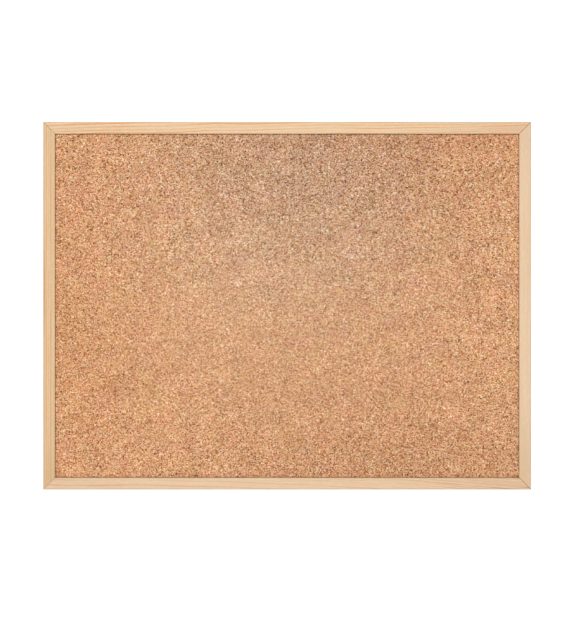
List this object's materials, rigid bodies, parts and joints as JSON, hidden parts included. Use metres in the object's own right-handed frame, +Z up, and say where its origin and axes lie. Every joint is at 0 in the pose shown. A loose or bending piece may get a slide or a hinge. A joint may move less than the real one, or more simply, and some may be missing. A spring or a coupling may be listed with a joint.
{
  "type": "cork bulletin board",
  "caption": "Framed cork bulletin board: mitred pine frame round a pinnable granulated-cork face, with folding D-ring hangers on the back.",
  "frame": {"origin": "centre of the cork's front face, the face that pins go into", "axes": "+X to the right and +Z up for a person facing the board; +Y from the cork back to the wall"},
  "size_m": [0.6, 0.0208, 0.452],
  "materials": {
    "pine": "satin",
    "cork": "matte",
    "softboard": "matte",
    "hardboard": "matte",
    "zinc_steel": "satin",
    "rubber": "matte"
  },
  "bodies": {
    "board": {"backing_board": "hardboard", "cork_sheet": "cork", "corner_nails": "zinc_steel", "hanger_screws": "zinc_steel", "hanger_strap_left": "zinc_steel", "hanger_strap_right": "zinc_steel", "panel_points": "zinc_steel", "rail_bottom": "pine", "rail_top": "pine", "softboard_core": "softboard", "stile_left": "pine", "stile_right": "pine", "wall_bumpers": "rubber"},
    "ring_left": {"hanger_ring_left": "zinc_steel"},
    "ring_right": {"hanger_ring_right": "zinc_steel"}
  },
  "joints": [
    {"name": "ring_left_swing", "type": "hinge", "parent": "board", "child": "ring_left", "pos_m": [-0.2939, 0.01578, 0.192], "axis": [-1, 0, 0], "range_deg": [-4.5, 174]},
    {"name": "ring_right_swing", "type": "hinge", "parent": "board", "child": "ring_right", "pos_m": [0.2939, 0.01578, 0.192], "axis": [-1, 0, 0], "range_deg": [-4.5, 174]}
  ]
}
